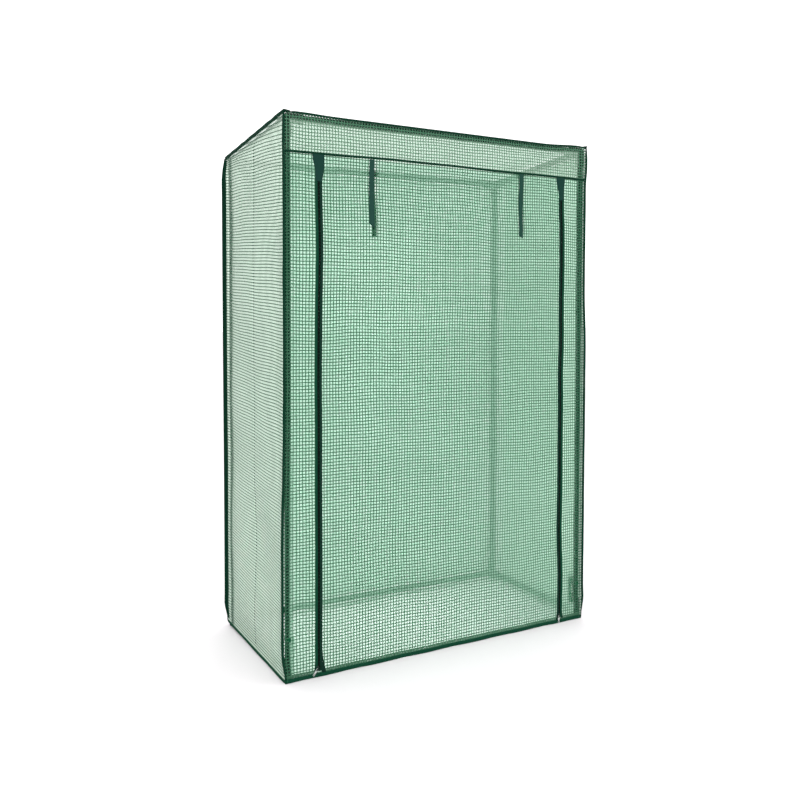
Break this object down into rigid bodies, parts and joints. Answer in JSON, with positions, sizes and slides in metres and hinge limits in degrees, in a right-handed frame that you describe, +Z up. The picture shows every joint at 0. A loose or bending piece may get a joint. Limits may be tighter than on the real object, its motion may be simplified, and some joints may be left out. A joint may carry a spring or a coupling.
{
  "type": "tomato greenhouse",
  "caption": "Upright tomato greenhouse: green tube frame, translucent grid-film cover with a sloping roof, and a zipped roll-up front door with tie ribbons.",
  "frame": {"origin": "middle of the footprint, on the ground", "axes": "+Z up, -Y towards the front door, +X to the right seen from the front"},
  "size_m": [1.0016, 0.507, 1.5009],
  "materials": {
    "frame_tube": "satin green powder coat",
    "connector": "moulded, fine grain",
    "film": "translucent film with a woven grid",
    "binding": "woven tape",
    "ribbon": "woven ribbon",
    "zip_metal": "nickel plated"
  },
  "bodies": {
    "greenhouse": {"bottom_front_connectors": "connector", "bottom_left_rail": "frame_tube", "bottom_rear_connectors": "connector", "bottom_rear_rail": "frame_tube", "bottom_right_rail": "frame_tube", "corner_binding": "binding", "door_top_section": "film", "front_header": "film", "front_left_lower_post": "frame_tube", "front_left_panel": "film", "front_left_upper_post": "frame_tube", "front_right_lower_post": "frame_tube", "front_right_panel": "film", "front_right_upper_post": "frame_tube", "header_binding": "binding", "hem_binding": "binding", "inner_ribbons": "ribbon", "left_panel": "film", "left_zip_tape": "binding", "outer_ribbon_tops": "ribbon", "post_ties": "ribbon", "rear_left_lower_post": "frame_tube", "rear_left_upper_post": "frame_tube", "rear_panel": "film", "rear_right_lower_post": "frame_tube", "rear_right_upper_post": "frame_tube", "right_panel": "film", "right_zip_tape": "binding", "roof_binding": "binding", "roof_panel": "film", "top_front_connectors": "connector", "top_front_rail": "frame_tube", "top_left_rail": "frame_tube", "top_rear_connectors": "connector", "top_rear_rail": "frame_tube", "top_right_rail": "frame_tube", "zip_top_patches": "binding"},
    "door_01": {"door_section_01": "film", "outer_ribbon_ends": "ribbon"},
    "door_02": {"door_section_02": "film"},
    "door_03": {"door_section_03": "film"},
    "door_04": {"door_section_04": "film"},
    "door_05": {"door_section_05": "film"},
    "door_06": {"door_section_06": "film"},
    "door_07": {"door_section_07": "film"},
    "door_08": {"door_section_08": "film"},
    "door_09": {"door_section_09": "film"},
    "door_10": {"door_section_10": "film"},
    "door_11": {"door_section_11": "film"},
    "door_12": {"door_section_12": "film"},
    "door_13": {"door_section_13": "film"},
    "door_14": {"door_section_14": "film"},
    "door_15": {"door_section_15": "film"},
    "left_slider": {"left_zip_slider": "zip_metal"},
    "left_pull": {"left_zip_pull": "zip_metal"},
    "right_slider": {"right_zip_slider": "zip_metal"},
    "right_pull": {"right_zip_pull": "zip_metal"}
  },
  "joints": [
    {"name": "door_roll", "type": "hinge", "parent": "greenhouse", "child": "door_01", "pos_m": [0, -0.2481, 1.2501], "axis": [-1, 0, 0], "range_deg": [0, 90]},
    {"name": "door_roll_02", "type": "hinge", "parent": "door_01", "child": "door_02", "pos_m": [0, -0.2481, 1.1102], "axis": [-1, 0, 0], "range_deg": [0, 90]},
    {"name": "door_roll_03", "type": "hinge", "parent": "door_02", "child": "door_03", "pos_m": [0, -0.2481, 0.98149], "axis": [-1, 0, 0], "range_deg": [0, 90]},
    {"name": "door_roll_04", "type": "hinge", "parent": "door_03", "child": "door_04", "pos_m": [0, -0.2481, 0.86308], "axis": [-1, 0, 0], "range_deg": [0, 90]},
    {"name": "door_roll_05", "type": "hinge", "parent": "door_04", "child": "door_05", "pos_m": [0, -0.2481, 0.75414], "axis": [-1, 0, 0], "range_deg": [0, 90]},
    {"name": "door_roll_06", "type": "hinge", "parent": "door_05", "child": "door_06", "pos_m": [0, -0.2481, 0.65391], "axis": [-1, 0, 0], "range_deg": [0, 90]},
    {"name": "door_roll_07", "type": "hinge", "parent": "door_06", "child": "door_07", "pos_m": [0, -0.2481, 0.56171], "axis": [-1, 0, 0], "range_deg": [0, 90]},
    {"name": "door_roll_08", "type": "hinge", "parent": "door_07", "child": "door_08", "pos_m": [0, -0.2481, 0.47688], "axis": [-1, 0, 0], "range_deg": [0, 90]},
    {"name": "door_roll_09", "type": "hinge", "parent": "door_08", "child": "door_09", "pos_m": [0, -0.2481, 0.39883], "axis": [-1, 0, 0], "range_deg": [0, 90]},
    {"name": "door_roll_10", "type": "hinge", "parent": "door_09", "child": "door_10", "pos_m": [0, -0.2481, 0.32703], "axis": [-1, 0, 0], "range_deg": [0, 90]},
    {"name": "door_roll_11", "type": "hinge", "parent": "door_10", "child": "door_11", "pos_m": [0, -0.2481, 0.26098], "axis": [-1, 0, 0], "range_deg": [0, 90]},
    {"name": "door_roll_12", "type": "hinge", "parent": "door_11", "child": "door_12", "pos_m": [0, -0.2481, 0.2002], "axis": [-1, 0, 0], "range_deg": [0, 90]},
    {"name": "door_roll_13", "type": "hinge", "parent": "door_12", "child": "door_13", "pos_m": [0, -0.2481, 0.1443], "axis": [-1, 0, 0], "range_deg": [0, 90]},
    {"name": "door_roll_14", "type": "hinge", "parent": "door_13", "child": "door_14", "pos_m": [0, -0.2481, 0.09286], "axis": [-1, 0, 0], "range_deg": [0, 90]},
    {"name": "door_roll_15", "type": "hinge", "parent": "door_14", "child": "door_15", "pos_m": [0, -0.2481, 0.04554], "axis": [-1, 0, 0], "range_deg": [0, 90]},
    {"name": "left_zip_slide", "type": "slide", "parent": "greenhouse", "child": "left_slider", "axis": [0, 0, 1], "range_m": [0, 1.285]},
    {"name": "left_pull_swing", "type": "hinge", "parent": "left_slider", "child": "left_pull", "pos_m": [-0.4094, -0.2513, 0.025], "axis": [-1, 0, 0], "range_deg": [0, 170]},
    {"name": "right_zip_slide", "type": "slide", "parent": "greenhouse", "child": "right_slider", "axis": [0, 0, 1], "range_m": [0, 1.285]},
    {"name": "right_pull_swing", "type": "hinge", "parent": "right_slider", "child": "right_pull", "pos_m": [0.4094, -0.2513, 0.025], "axis": [-1, 0, 0], "range_deg": [0, 170]}
  ],
  "couplings": [
    {"joint": "door_roll_02", "follows": "door_roll", "ratio": 1},
    {"joint": "door_roll_03", "follows": "door_roll", "ratio": 1},
    {"joint": "door_roll_04", "follows": "door_roll", "ratio": 1},
    {"joint": "door_roll_05", "follows": "door_roll", "ratio": 1},
    {"joint": "door_roll_06", "follows": "door_roll", "ratio": 1},
    {"joint": "door_roll_07", "follows": "door_roll", "ratio": 1},
    {"joint": "door_roll_08", "follows": "door_roll", "ratio": 1},
    {"joint": "door_roll_09", "follows": "door_roll", "ratio": 1},
    {"joint": "door_roll_10", "follows": "door_roll", "ratio": 1},
    {"joint": "door_roll_11", "follows": "door_roll", "ratio": 1},
    {"joint": "door_roll_12", "follows": "door_roll", "ratio": 1},
    {"joint": "door_roll_13", "follows": "door_roll", "ratio": 1},
    {"joint": "door_roll_14", "follows": "door_roll", "ratio": 1},
    {"joint": "door_roll_15", "follows": "door_roll", "ratio": 1}
  ]
}
